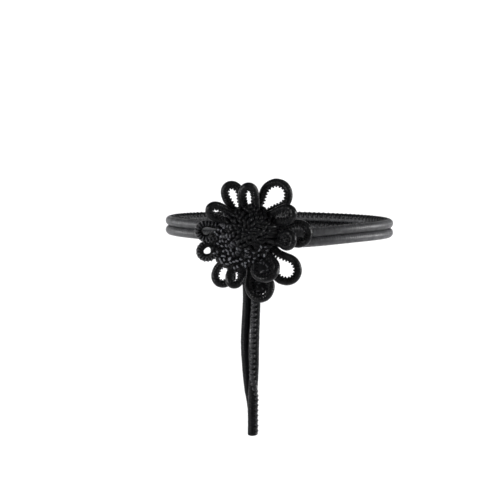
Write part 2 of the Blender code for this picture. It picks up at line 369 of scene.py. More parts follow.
def directions(points, closed):
    """The direction of the line at each of its points."""
    if closed:
        return unit(np.roll(points, -1, axis=0) - np.roll(points, 1, axis=0))
    return unit(np.gradient(points, axis=0))


def make_line(points, zero, quarter, angles, width, pitch, closed=False):
    """A line whose seam looks towards zero at angle 0 and towards quarter at 90 degrees. Its beat counts the
    stitches, which are evenly spaced along the seam itself, so they sit closer on the inside of a bend."""
    ahead = directions(points, closed)
    zero = across_line(np.broadcast_to(zero, points.shape), ahead)
    quarter = across_line(np.broadcast_to(quarter, points.shape), ahead)
    turn = np.radians(np.broadcast_to(angles, len(points)))[:, None]
    seam = across_line(np.cos(turn) * zero + np.sin(turn) * quarter, ahead)
    edge = points + seam * width / 2
    steps = np.linalg.norm(np.diff(edge, axis=0, append=edge[:1]), axis=1)
    total = steps.sum() if closed else steps[:-1].sum()
    beats = max(1, round(total / pitch))
    beat = np.concatenate([[0], np.cumsum(steps[:-1])]) * beats / total
    return Line(points, ahead, seam, np.cross(ahead, seam), distances(points), beat, beats, closed)


def loop_line(loop):
    """The line of a flower loop, whose seam looks into the loop's opening at angle 0."""
    points = even_points(smooth_route(loop_route(loop)), SLEEVE_STEP)
    arms = points - points.mean(axis=0)
    face = np.cross(arms[:-1], arms[1:]).sum(axis=0)
    face = face / np.linalg.norm(face)
    if face[1] > 0:
        face = -face
    ahead = directions(points, False)
    inward = np.cross(face, ahead)
    if np.sum(inward * arms) > 0:
        inward = -inward
    share = np.linspace(0, 1, len(points))
    loop_angle, root_angle = SEAM_PLACES.get(loop["name"], USUAL_SEAM)
    from_root = np.clip(np.minimum(share, 1 - share) / SEAM_TURN, 0, 1)
    ease = from_root * from_root * (3 - 2 * from_root)
    angles = root_angle + (loop_angle - root_angle) * ease
    return make_line(points, inward, face, angles, LOOP_WIDTH, loop_lace()["pitch"])


def strand_line(name, side):
    """The closed line of a waist strand, which starts and ends inside the knot."""
    turns = np.linspace(0, 2 * math.pi, 1200)
    dense = [waist_point(KNOT_ANGLE + turn, side * STRAND_SPACING / 2) for turn in turns]
    points = even_points(dense, SLEEVE_STEP * 1.25)[:-1]
    outward = points * np.array([1 / WAIST_WIDTH**2, 1 / WAIST_DEPTH**2, 0])
    pitch = strand_lace()["pitch"]
    return make_line(points, UP, outward, STRAND_SEAMS[name], STRAND_WIDTH, pitch, closed=True)


def tail_line(name):
    """The line of a tail, from the knot down."""
    points = even_points(smooth_route(tail_route(name)), SLEEVE_STEP)
    share = np.linspace(0, 1, len(points))
    stops, turns = zip(*TAIL_SEAMS[name])
    angles = np.interp(share, stops, turns)
    return make_line(points, FRONT, RIGHT, angles, TAIL_WIDTH, strand_lace()["pitch"])


def ahead_at(points, number):
    """The direction of a line of points at one of them."""
    return Vector(points[min(number + 1, len(points) - 1)] - points[max(number - 1, 0)]).normalized()


def square_to(ahead, up):
    """The part of up that lies square to ahead, scaled to length 1."""
    return (up - ahead * ahead.dot(up)).normalized()


def ring_place(centre, ahead, up, half_width, half_height):
    """The matrix that lays a unit circle across a line, its first point towards up."""
    up = square_to(ahead, up)
    place = Matrix((ahead.cross(up) * half_width, up * half_height, ahead)).transposed().to_4x4()
    place.translation = centre
    return place


def straight_tube(columns, rings, closed=False):
    """A tube of rings along Z. Its points know their column, counted from +Y towards +X, and their ring."""
    shape = bmesh.new()
    bmesh.ops.create_cone(
        shape, cap_ends=not closed, segments=columns, radius1=1, radius2=1, depth=rings - 1
    )
    rising = [edge for edge in shape.edges if abs(edge.verts[0].co.z - edge.verts[1].co.z) > 0.5]
    bmesh.ops.subdivide_edges(shape, edges=rising, cuts=rings - 2, use_grid_fill=True)
    if closed:
        bmesh.ops.bridge_loops(shape, edges=[edge for edge in shape.edges if edge.is_boundary])
    column = shape.verts.layers.int.new("column")
    ring = shape.verts.layers.int.new("ring")
    for vert in shape.verts:
        turn = math.atan2(vert.co.x, vert.co.y) / (2 * math.pi)
        vert[column] = round(turn * columns) % columns
        vert[ring] = round(vert.co.z + (rings - 1) / 2)
    return shape


def pattern_mesh(columns, rings):
    """A straight tube kept as a mesh, to be repeated."""
    name = f"pattern_{columns}_{rings}"
    if name in bpy.data.meshes:
        return bpy.data.meshes[name]
    mesh = bpy.data.meshes.new(name)
    shape = straight_tube(columns, rings)
    shape.to_mesh(mesh)
    shape.free()
    return mesh


def new_shape():
    """An empty mesh whose points know their column and ring."""
    shape = bmesh.new()
    shape.verts.layers.int.new("column")
    shape.verts.layers.int.new("ring")
    return shape


def add_tube(shape, places, columns):
    """Adds a tube whose rings lie at the places."""
    pattern = pattern_mesh(columns, len(places))
    shape.from_mesh(pattern)
    shape.verts.ensure_lookup_table()
    column = shape.verts.layers.int["column"]
    ring = shape.verts.layers.int["ring"]
    for vert in shape.verts[-len(pattern.vertices):]:
        turn = 2 * math.pi * vert[column] / columns
        vert.co = places[vert[ring]] @ Vector((math.sin(turn), math.cos(turn), 0))


def wave(value):
    """0 at whole numbers and 1 half way between them."""
    return 0.5 - 0.5 * math.cos(2 * math.pi * value)


def bell(value, half_width):
    """1 at zero, falling off to both sides."""
    return math.exp(-((value / half_width) ** 2))


def sleeve(line, width, lace, seed, end_round=False):
    """The leather round its filling. Its edges meet in a raised seam that puckers between the holes."""
    radius = width / 2
    shape = straight_tube(SLEEVE_COLUMNS, len(line.centre), line.closed)
    column = shape.verts.layers.int["column"]
    ring = shape.verts.layers.int["ring"]
    draws = random.Random(seed)
    waves = [(draws.uniform(15, 90), draws.uniform(0, 6.28), draws.randint(0, 3)) for _ in range(WAVES)]
    for vert in shape.verts:
        number = vert[ring]
        along = line.along[number]
        flat = 2 * math.pi * vert[column] / SLEEVE_COLUMNS
        around = flat - SEAM_CROWDING * math.sin(flat)
        off_seam = (around + math.pi) % (2 * math.pi) - math.pi
        between = wave(line.beat[number])
        lift = lace["lip"] * bell(off_seam, 0.8 * lace["reach"]) * (0.25 + 0.75 * between)
        lift -= lace["lip"] * 0.7 * bell(off_seam, SEAM_GAP)
        lift -= lace["dimple"] * bell(abs(off_seam) - lace["reach"], 0.2) * (1 - between) ** 2
        for pace, phase, folds in waves:
            lift += radius * WAVE_HEIGHT * math.sin(pace * along / radius / 12 + phase + folds * around)
        if end_round:
            to_end = (line.along[-1] - along) / radius
            lift += radius * END_SWELL * bell(to_end, 1.6)
            lift -= (radius + lift) * (1 - math.sqrt(1 - max(0.0, 1 - to_end / END_ROUNDING) ** 2 * 0.8))
        out = math.cos(around) * line.seam[number] + math.sin(around) * line.side[number]
        vert.co = Vector(line.centre[number] + (radius + lift) * out)
    return shape


def surface_place(line, beat, around, height):
    """A point over a cord's surface at a stitch's beat, and the direction away from the cord there."""
    centre, seam, side = (rows_at(beat, line.beat, rows) for rows in (line.centre, line.seam, line.side))
    out = math.cos(around) * seam + math.sin(around) * side
    out = out / np.linalg.norm(out)
    return Vector(centre + height * out), Vector(out)


def stitch(shape, line, width, lace, start, end, side, lift):
    """One leg of the lace over the seam, from one hole to the other, with both ends in the leather."""
    shares = [number / (LACE_RINGS - 1) for number in range(LACE_RINGS)]
    points = []
    outs = []
    for share in shares:
        arch = math.sin(math.pi * share) ** 0.4
        around = side * lace["reach"] * (1 - 2 * share)
        over_lip = lace["lip"] * bell(around, 0.8 * lace["reach"]) * 0.35
        height = width / 2 + over_lip + lace["height"] * (lift * arch - 0.6 * (1 - arch))
        point, out = surface_place(line, start + (end - start) * share, around, height)
        points.append(point)
        outs.append(out)
    places = []
    for number, (point, out, share) in enumerate(zip(points, outs, shares)):
        half = (0.75 + 0.25 * math.sin(math.pi * share)) / 2
        ahead = ahead_at(points, number)
        places.append(ring_place(point, ahead, out, lace["width"] * half, lace["height"] * half))
    add_tube(shape, places, LACE_COLUMNS)


def lacing(shape, line, width, lace, seed, first=0.0, last=1.0):
    """The lace along the seam: a leg over the seam at every beat, and where it shows, the leg back."""
    draws = random.Random(seed)
    slant = lace["slant"] / 2
    for beat in range(line.beats):
        if not first <= beat / line.beats <= last:
            continue
        shaken = beat + draws.uniform(-0.04, 0.04)
        lift = 0.5 * draws.uniform(0.85, 1.15)
        stitch(shape, line, width, lace, shaken - slant, shaken + slant, 1, lift)
        if lace["zigzag"]:
            stitch(shape, line, width, lace, shaken + slant, shaken + 1 - slant, -1, 0.12)


def write_uv(shape, columns, beat, beats):
    """A UV map: once round the cord is 1 in U from the seam, and from stitch to stitch is 1 in V."""
    column = shape.verts.layers.int["column"]
    ring = shape.verts.layers.int["ring"]
    uv = shape.loops.layers.uv.new("cord")
    for face in shape.faces:
        around = [loop.vert[column] / columns for loop in face.loops]
        wraps = max(around) - min(around) > 0.5
        beaten = [beat[loop.vert[ring]] for loop in face.loops]
        joins = max(beaten) - min(beaten) > beats / 2
        for loop, turn, length in zip(face.loops, around, beaten):
            u = turn + 1 if wraps and turn < 0.5 else turn
            v = length + beats if joins and length < beats / 2 else length
            loop[uv].uv = (u, v)


def new_piece(name, shape, material):
    """The smooth object that this shape makes, in this material."""
    for face in shape.faces:
        face.smooth = True
    mesh = bpy.data.meshes.new(name)
    shape.to_mesh(mesh)
    shape.free()
    mesh.materials.append(material)
    piece = bpy.data.objects.new(name, mesh)
    bpy.context.scene.collection.objects.link(piece)
    return piece


def finish_mesh(name, shape, material, slot, *nodes):
    """The finished piece: it rides with the belt and stands for these nodes. Its slot is not used."""
    bmesh.ops.recalc_face_normals(shape, faces=shape.faces)
    piece = new_piece(name, shape, material)
    extras = piece.data.attributes
    for extra in ("column", "ring"):
        if extra in extras:
            extras.remove(extras[extra])
    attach(piece, "root")
    if nodes:
        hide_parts(*nodes)
    return piece


def make_cord(name, line, width, lace, material, slot, seed, end_round=False):
    """A cord's sleeve in place of its node, with its lacing as a piece of its own."""
    body = sleeve(line, width, lace, seed, end_round)
    write_uv(body, SLEEVE_COLUMNS, line.beat, line.beats)
    cord = finish_mesh(name + "_sleeve", body, material, slot, name)
    legs = new_shape()
    lacing(legs, line, width, lace, seed)
    # The lace is paled by its gain as a painted highlight, 1 for none
    lace_piece = finish_mesh(name + "_lacing", legs, lace_leather(lace["painted_highlight_gain"]), slot)
    return cord, lace_piece


def dome_place(radius, angle, side):
    """A point of the knot's surface and the direction away from it, by its angle and share of the radius."""
    x = radius * math.cos(angle)
    z = radius * math.sin(angle)
    y = side * math.sqrt(max(0.0, 1 - x * x - z * z))
    place = Vector((x * KNOT_SIZE.x, y * KNOT_SIZE.y, z * KNOT_SIZE.z))
    normal = Vector((x / KNOT_SIZE.x, y / KNOT_SIZE.y, z / KNOT_SIZE.z)).normalized()
    return KNOT_MIDDLE + place, normal


def turned_place(place, normal, spin):
    """The matrix that lays a piece on this place, its top along the normal and turned about it."""
    turn = normal.to_track_quat("Z", "Y").to_matrix().to_4x4() @ Matrix.Rotation(spin, 4, "Z")
    return Matrix.Translation(place) @ turn


def bight(shape, place, length, width, height, curl):
    """A short arched run of cord, both ends sunk in what it lies on, laid by the place's matrix."""
    shares = [number / (LACE_RINGS - 1) for number in range(LACE_RINGS)]
    points = []
    for share in shares:
        across = 2 * share - 1
        arch = math.sin(math.pi * share) ** 0.75
        spot = Vector((across * length / 2, curl * (1 - across * across), height * (arch - BIGHT_SINK)))
        points.append(place @ spot)
    up = place.to_3x3() @ UP
    places = []
    for number, share in enumerate(shares):
        half = width / 2 * (0.6 + 0.4 * math.sin(math.pi * share) ** 0.6)
        places.append(ring_place(points[number], ahead_at(points, number), up, half, half * 0.86))
    add_tube(shape, places, LACE_COLUMNS)


def socket_value(made, socket, value, tree):
    """Links a socket to another, or gives it a value."""
    if isinstance(value, bpy.types.NodeSocket):
        tree.links.new(value, made.inputs[socket])
    else:
        made.inputs[socket].default_value = value


def add_node(tree, kind, inputs, **settings):
    """A new node with its settings, and its inputs by name or number."""
    made = tree.nodes.new(kind)
    for name, value in settings.items():
        setattr(made, name, value)
    for socket, value in inputs.items():
        socket_value(made, socket, value, tree)
    return made


def maths(tree, operation, *values):
    """A maths node's result."""
    return add_node(tree, "ShaderNodeMath", dict(enumerate(values)), operation=operation).outputs[0]


def noise(tree, vector, scale, **inputs):
    """A noise pattern's value."""
    inputs = {"Vector": vector, "Scale": scale, **inputs}
    return add_node(tree, "ShaderNodeTexNoise", inputs).outputs["Fac"]


def stretched(tree, value, low, high, to_low=0.0, to_high=1.0):
    """A value whose range from low to high is stretched over another one."""
    inputs = {"Value": value, "From Min": low, "From Max": high, "To Min": to_low, "To Max": to_high}
    return add_node(tree, "ShaderNodeMapRange", inputs).outputs["Result"]


def peak(tree, value, steepness):
    """1 where a value is 0, falling off to both sides."""
    scaled = maths(tree, "MULTIPLY", value, steepness)
    return maths(tree, "EXPONENT", maths(tree, "MULTIPLY", maths(tree, "MULTIPLY", scaled, scaled), -1.0))


def new_group(name, inputs, outputs):
    """An empty node group with its sockets, and its input and output nodes."""
    group = bpy.data.node_groups.new(name, "ShaderNodeTree")
    for label, kind, value in inputs:
        socket = group.interface.new_socket(label, in_out="INPUT", socket_type=kind)
        if value is not None:
            socket.default_value = value
    for label in outputs:
        group.interface.new_socket(label, in_out="OUTPUT", socket_type="NodeSocketFloat")
    return group, group.nodes.new("NodeGroupInput").outputs, group.nodes.new("NodeGroupOutput").inputs


def grain_group():
    """Fine leather grain and soft creases, as a height and as a mask of uneven dye."""
    name = "leather_grain"
    if name in bpy.data.node_groups:
        return bpy.data.node_groups[name]
    inputs = (("Vector", "NodeSocketVector", None), ("Grain", "NodeSocketFloat", 2200.0))
    group, given, out = new_group(name, inputs, ("Height", "Dye"))
    vector = given["Vector"]
    cells = add_node(
        group,
        "ShaderNodeTexVoronoi",
        {"Vector": vector, "Scale": given["Grain"], "Randomness": 0.9},
        feature="SMOOTH_F1",
    )
    fine = maths(group, "MULTIPLY", cells.outputs["Distance"], 0.45)
    pores = maths(group, "MULTIPLY", noise(group, vector, 900.0, Detail=4.0, Roughness=0.6), 0.4)
    creases = maths(group, "MULTIPLY", noise(group, vector, 290.0, Detail=3.0, Distortion=0.8), 0.9)
    height = maths(group, "ADD", maths(group, "ADD", fine, pores), creases)
    patches = noise(group, vector, 170.0, Detail=5.0, Roughness=0.65)
    group.links.new(height, out["Height"])
    group.links.new(stretched(group, patches, 0.3, 0.7), out["Dye"])
    return group


def seam_group():
    """What the lacing does to the leather: holes, puckers that run out from them and rubbed edges."""
    name = "laced_seam"
    if name in bpy.data.node_groups:
        return bpy.data.node_groups[name]
    inputs = (("UV", "NodeSocketVector", None), ("Reach", "NodeSocketFloat", 0.12))
    group, given, out = new_group(name, inputs, ("Holes", "Puckers", "Rub"))
    parts = add_node(group, "ShaderNodeSeparateXYZ", {"Vector": given["UV"]}).outputs
    around = maths(group, "PINGPONG", parts["X"], 0.5)
    along = maths(group, "PINGPONG", parts["Y"], 0.5)
    off_holes = maths(group, "SUBTRACT", around, given["Reach"])
    across = maths(group, "POWER", maths(group, "MULTIPLY", off_holes, 7.0), 2.0)
    spot = maths(group, "ADD", across, maths(group, "POWER", along, 2.0))
    folds = maths(group, "COSINE", maths(group, "MULTIPLY", parts["Y"], 4 * math.pi))
    group.links.new(stretched(group, spot, 0.012, 0.07, 1.0, 0.0), out["Holes"])
    group.links.new(maths(group, "MULTIPLY", peak(group, off_holes, 6.0), folds), out["Puckers"])
    group.links.new(peak(group, around, 16.0), out["Rub"])
    return group


def start_material(name):
    """A material by name: the one that exists with None, or a new one with its shader."""
    made = bpy.data.materials.get(name)
    if made is not None:
        return made, None
    made = bpy.data.materials.new(name)
    made.use_nodes = True
    return made, made.node_tree.nodes["Principled BSDF"]


def mixed(tree, factor, dark, light):
    """A colour between two, by a factor."""
    mix = add_node(tree, "ShaderNodeMix", {"Factor": factor}, data_type="RGBA")
    socket_value(mix, 6, dark, tree)
    socket_value(mix, 7, light, tree)
    return mix.outputs[2]


def shade(colour, share):
    """A colour made darker or lighter."""
    return (*(min(1.0, part * share) for part in colour), 1.0)


def leather(name, colour, roughness, relief, specular, reach=None):
    """Black leather with grain, uneven dye and, on a laced cord, holes, puckers and rubbed edges."""
    made, shader = start_material(name)
    if shader is None:
        return made
    tree = made.node_tree
    coordinates = add_node(tree, "ShaderNodeTexCoord", {}).outputs["Object"]
    grain = add_node(tree, "ShaderNodeGroup", {"Vector": coordinates}, node_tree=grain_group())
    dye = grain.outputs["Dye"]
    paint = mixed(tree, dye, shade(colour, 0.45), shade(colour, 1.7))
    height = grain.outputs["Height"]
    if reach is not None:
        uv = add_node(tree, "ShaderNodeUVMap", {}, uv_map="cord").outputs["UV"]
        seam = add_node(tree, "ShaderNodeGroup", {"UV": uv, "Reach": reach}, node_tree=seam_group())
        rubbed = maths(tree, "MULTIPLY", seam.outputs["Rub"], dye)
        paint = mixed(tree, rubbed, paint, shade(colour, 2.6))
        paint = mixed(tree, seam.outputs["Holes"], paint, shade(colour, 0.12))
        height = maths(tree, "ADD", height, maths(tree, "MULTIPLY", seam.outputs["Puckers"], 1.6))
        height = maths(tree, "SUBTRACT", height, maths(tree, "MULTIPLY", seam.outputs["Holes"], 2.0))
    rough = stretched(tree, dye, 0.0, 1.0, roughness + 0.10, roughness - 0.06)
    bump = add_node(tree, "ShaderNodeBump", {"Strength": 0.6, "Distance": relief, "Height": height})
    socket_value(shader, "Base Color", paint, tree)
    socket_value(shader, "Roughness", rough, tree)
    socket_value(shader, "Normal", bump.outputs["Normal"], tree)
    shader.inputs["IOR"].default_value = 1.5
    shader.inputs["Specular IOR Level"].default_value = specular
    return made


def strand_leather():
    """The satin leather of the strands round the waist, its colour paled as painted sheen."""
    finish = bpy.context.scene.rope_belt_finish
    return leather(
        "strand_painted_sheen", finish.strand_colour_painted_sheen, finish.strand_roughness, 0.0003, 0.75, STRAND_HOLES
    )


def tail_leather():
    """The satin leather of the tails."""
    finish = bpy.context.scene.rope_belt_finish
    return leather("tail_finish", finish.tail_colour, finish.loop_roughness, 0.0003, 0.13, STRAND_HOLES)


def loop_leather():
    """The tighter leather of the flower's loops."""
    finish = bpy.context.scene.rope_belt_finish
    return leather("loop_finish", finish.loop_colour, finish.loop_roughness, 0.0003, 0.28, LOOP_HOLES)


def lace_leather(painted_highlight_gain):
    """The cut lace of the seams, made this many times paler as a painted highlight; 1 leaves it plain."""
    finish = bpy.context.scene.rope_belt_finish
    colour = shade(finish.lace_colour, painted_highlight_gain)[:3]
    specular = 0.3 if painted_highlight_gain == 1 else 0.5
    return leather(f"lace_painted_highlight_{painted_highlight_gain}", colour, finish.lace_roughness, 0.0001, specular)


def knot_leather():
    """The leather of the knot's woven middle."""
    finish = bpy.context.scene.rope_belt_finish
    return leather("knot_finish", finish.knot_colour, finish.knot_roughness, 0.00015, 0.24)


def painted_shade_core_leather():
    """The knot's leather at 0.3 of its colour, as painted shade deep in the knot between its cords."""
    finish = bpy.context.scene.rope_belt_finish
    return leather("core_painted_shade", shade(finish.knot_colour, 0.3)[:3], 0.6, 0.0002, 0.1)


# What the colours and the shares from 0 to 1 have in common
COLOUR = {"subtype": "COLOR", "min": 0.0, "max": 1.0}
FACTOR = {"subtype": "FACTOR", "min": 0.0, "max": 1.0}


class RopeBeltSizes(PropertyGroup):
    """Sizes of the belt's lacing and knotting."""

    strand_pitch: FloatProperty(
        name="Strand pitch",
        description="Distance between stitches on the strands and tails",
        default=0.0053,
        min=0.002,
        unit="LENGTH",
    )
    strand_lace: FloatProperty(
        name="Strand lace",
        description="Width of the lace on the strands and tails",
        default=0.0026,
        min=0.0005,
        unit="LENGTH",
    )
    loop_pitch: FloatProperty(
        name="Loop pitch",
        description="Distance between stitches on the flower's loops",
        default=0.0035,
        min=0.002,
        unit="LENGTH",
    )
    loop_lace: FloatProperty(
        name="Loop lace",
        description="Width of the lace on the flower's loops",
        default=0.0021,
        min=0.0005,
        unit="LENGTH",
    )
    lip: FloatProperty(
        name="Seam lip",
        description="How far the leather's edges stand up along the seam",
        default=0.0002,
        min=0.0,
        unit="LENGTH",
    )
    bight_width: FloatProperty(
        name="Bight width",
        description="Width of a bight in the knot's middle",
        default=0.0039,
        min=0.001,
        unit="LENGTH",
    )
    bight_length: FloatProperty(
        name="Bight length",
        description="Length of a bight in the knot's middle",
        default=0.0074,
        min=0.002,
        unit="LENGTH",
    )
    front_bights: IntProperty(
        name="Front bights",
        description="Number of bights on the knot's front",
        default=124,
        min=1,
    )
    back_bights: IntProperty(
        name="Back bights",
        description="Number of bights on the knot's back",
        default=70,
        min=1,
    )
    low_bights: IntProperty(
        name="Low bights",
        description="Number of small bights in each layer, if they went all round the knot",
        default=310,
        min=1,
    )


class RopeBeltFinish(PropertyGroup):
    """Colours and gloss of the belt's leathers."""

    # Far paler than the other leathers: the strands' sheen is painted into this colour
    strand_colour_painted_sheen: FloatVectorProperty(
        name="Strand colour",
        description="Leather of the strands round the waist",
        default=(0.0600, 0.0612, 0.0650),
        **COLOUR,
    )
    strand_roughness: FloatProperty(
        name="Strand roughness",
        description="Roughness of the strands",
        default=0.42,
        **FACTOR,
    )
    tail_colour: FloatVectorProperty(
        name="Tail colour",
        description="Leather of the tails",
        default=(0.0064, 0.0067, 0.0078),
        **COLOUR,
    )
    loop_colour: FloatVectorProperty(
        name="Loop colour",
        description="Leather of the flower's loops",
        default=(0.0044, 0.0046, 0.0053),
        **COLOUR,
    )
    loop_roughness: FloatProperty(
        name="Loop roughness",
        description="Roughness of the flower's loops and the tails",
        default=0.28,
        **FACTOR,
    )
    lace_colour: FloatVectorProperty(
        name="Lace colour",
        description="The cut lace of the seams",
        default=(0.010, 0.0102, 0.0112),
        **COLOUR,
    )
    lace_roughness: FloatProperty(
        name="Lace roughness",
        description="Roughness of the lace",
        default=0.27,
        **FACTOR,
    )
    knot_colour: FloatVectorProperty(
        name="Knot colour",
        description="Leather of the knot's woven middle",
        default=(0.0055, 0.0057, 0.0065),
        **COLOUR,
    )
    knot_roughness: FloatProperty(
        name="Knot roughness",
        description="Roughness of the knot's middle",
        default=0.32,
        **FACTOR,
    )


class RopeBeltStage(PropertyGroup):
    """The studio round the belt."""

    floor_drop: FloatProperty(
        name="Floor drop",
        description="Height of the floor under the middle of the waist",
        default=0.900,
        min=0.0,
        unit="LENGTH",
    )
    floor_colour: FloatVectorProperty(
        name="Floor colour",
        description="The pale floor and wall",
        default=(0.86, 0.86, 0.87),
        **COLOUR,
    )
    camera_distance: FloatProperty(
        name="Camera distance",
        description="Distance from the middle of the waist",
        default=3.0,
        min=0.5,
        unit="LENGTH",
    )
    camera_elevation: FloatProperty(
        name="Camera elevation",
        description="Angle above the horizon",
        default=math.radians(4),
        subtype="ANGLE",
    )
    lens: FloatProperty(
        name="Lens",
        description="Focal length on a 36 mm sensor, in millimetres",
        default=203.8,
        min=10.0,
    )
    sky: FloatProperty(
        name="Sky",
        description="Strength of the even light from all round",
        default=0.06,
        min=0.0,
    )
    backdrop: FloatProperty(
        name="Backdrop light",
        description="Power of each light on the floor and wall behind the belt",
        default=110.0,
        min=0.0,
        unit="POWER",
    )
    key: FloatProperty(
        name="Key light",
        description="Power of the light from the front left, which the others round the belt follow",
        default=22.0,
        min=0.0,
        unit="POWER",
    )


def lace_sizes(pitch, width, reach, slant, zigzag):
    """What the lacing needs to know: sizes, and how far it reaches to both sides of the seam, in degrees."""
    return {
        "pitch": pitch,
        "width": width,
        "height": LACE_HEIGHT,
        "reach": math.radians(reach),
        "slant": slant,
        "lip": bpy.context.scene.rope_belt_sizes.lip,
        "dimple": DIMPLE,
        "zigzag": zigzag,
        "painted_highlight_gain": 1,
    }


def strand_lace():
    """The lace of the strands and tails, whose legs show both ways."""
    sizes = bpy.context.scene.rope_belt_sizes
    return lace_sizes(sizes.strand_pitch, sizes.strand_lace, 44, 0.5, True)


def loop_lace():
    """The lace of the loops, with single legs straight over the seam."""
    sizes = bpy.context.scene.rope_belt_sizes
    return lace_sizes(sizes.loop_pitch, sizes.loop_lace, 42, 0.2, False)


class ROPEBELT_OT_studio(Operator):
    """Build the floor, the lights and the camera"""

    bl_idname = "rope_belt.studio"
    bl_label = "Studio"

    def execute(self, context):
        stage = context.scene.rope_belt_stage
        self.floor(stage)
        self.lights(context, stage)
        self.camera(context, stage)
        return {"FINISHED"}

    def floor(self, stage):
        """A round floor that curves up into a low wall, all round the belt."""
        reach = 5.0
        bend = 1.5
        wall = 1.2
        steps = 12
        shape = bmesh.new()
        rim = [Vector((0, 0, 0)), Vector((reach, 0, 0))]
        for number in range(1, steps + 1):
            turn = math.pi / 2 * number / steps
            rim.append(Vector((reach + bend * math.sin(turn), 0, bend * (1 - math.cos(turn)))))
        rim.append(rim[-1] + Vector((0, 0, wall)))
        verts = [shape.verts.new(point - UP * stage.floor_drop) for point in rim]
        edges = [shape.edges.new(pair) for pair in zip(verts, verts[1:])]
        bmesh.ops.spin(
            shape,
            geom=verts + edges,
            cent=(0, 0, 0),
            axis=(0, 0, 1),
            angle=2 * math.pi,
            steps=96,
            use_merge=True,
            use_duplicate=False,
        )
        bmesh.ops.remove_doubles(shape, verts=shape.verts, dist=1e-5)
        bmesh.ops.recalc_face_normals(shape, faces=shape.faces)
        if sum(face.normal.z * face.calc_area() for face in shape.faces) < 0:
            bmesh.ops.reverse_faces(shape, faces=shape.faces)
        material, shader = start_material("studio_paint")
        if shader is not None:
            shader.inputs["Base Color"].default_value = (*stage.floor_colour, 1.0)
            shader.inputs["Roughness"].default_value = 0.7
        new_piece("studio_floor", shape, material)

    def aimed(self, name, data, place, aim):
        """A light or camera in its place, turned towards its aim."""
        thing = bpy.data.objects.new(name, data)
        thing.location = place
        thing.rotation_mode = "QUATERNION"
        thing.rotation_quaternion = (aim - place).to_track_quat("-Z", "Y")
        bpy.context.scene.collection.objects.link(thing)
        return thing

    def lights(self, context, stage):
        """A faint sky, a key light from the front left, others round the belt, and two for the backdrop."""
        world = bpy.data.worlds.new("studio_sky")
        world.use_nodes = True
        sky = world.node_tree.nodes["Background"]
        sky.inputs["Color"].default_value = (1.0, 1.0, 1.0, 1.0)
        sky.inputs["Strength"].default_value = stage.sky
        context.scene.world = world
        context.scene.view_settings.view_transform = "Standard"
        belt = Vector((0, 0, 0))
        rows = (
            ("key_light", Vector((-1.9, -1.3, 0.3)), belt, 0.6, stage.key),
            ("fill_light", Vector((0.9, -1.6, 1.7)), belt, 0.8, stage.key * 0.2),
            ("left_light", Vector((-2.2, 0.4, 0.2)), belt, 0.9, stage.key * 0.6),
            ("right_light", Vector((2.2, 0.0, 0.3)), belt, 0.9, stage.key * 1.7),
            ("low_light", Vector((0.05, 0.1, -0.85)), belt, 0.35, stage.key * 0.045),
            ("floor_light", Vector((0.0, 2.8, 2.4)), Vector((0.0, 5.2, -0.9)), 3.0, stage.backdrop),
            ("wall_light", Vector((0.0, 2.4, 2.4)), Vector((0.0, 6.2, 0.4)), 3.0, stage.backdrop),
        )
        for name, place, aim, size, power in rows:
            lamp = bpy.data.lights.new(name, "AREA")
            lamp.shape = "DISK"
            lamp.size = size
            lamp.energy = power
            self.aimed(name, lamp, place, aim).visible_camera = False

    def camera(self, context, stage):
        """A long lens straight in front, a little above the belt, aimed left of and below its middle."""
        aim = Vector((-0.0311, 0, -0.0254))
        lens = bpy.data.cameras.new("studio_camera")
        lens.lens = stage.lens
        elevation = stage.camera_elevation
        place = stage.camera_distance * Vector((0, -math.cos(elevation), math.sin(elevation)))
        context.scene.camera = self.aimed("studio_camera", lens, place, aim)


class ROPEBELT_OT_tails(Operator):
    """Build the two hanging tails"""

    bl_idname = "rope_belt.tails"
    bl_label = "Tails"

    def execute(self, context):
        for seed, name in enumerate(TAIL_ROUTES, 11):
            line = tail_line(name)
            # The tails' lace is paled as a painted highlight on the zigzag
            lace = dict(strand_lace(), painted_highlight_gain=TAIL_LACE_PAINTED_HIGHLIGHT)
            cord, legs = make_cord(
                name, line, TAIL_WIDTH, lace, tail_leather(), "cord_leather", seed, end_round=True
            )
        return {"FINISHED"}


class ROPEBELT_OT_strands(Operator):
    """Build the two strands round the waist, pressed together"""

    bl_idname = "rope_belt.strands"
    bl_label = "Waist strands"

    def execute(self, context):
        for seed, (name, side) in enumerate((("waist_strand_upper", 1), ("waist_strand_lower", -1)), 21):
            line = strand_line(name, side)
            width = STRAND_WIDTH + 2 * CLEARANCE
            make_cord(name, line, width, strand_lace(), strand_leather(), "cord_leather", seed)
        return {"FINISHED"}


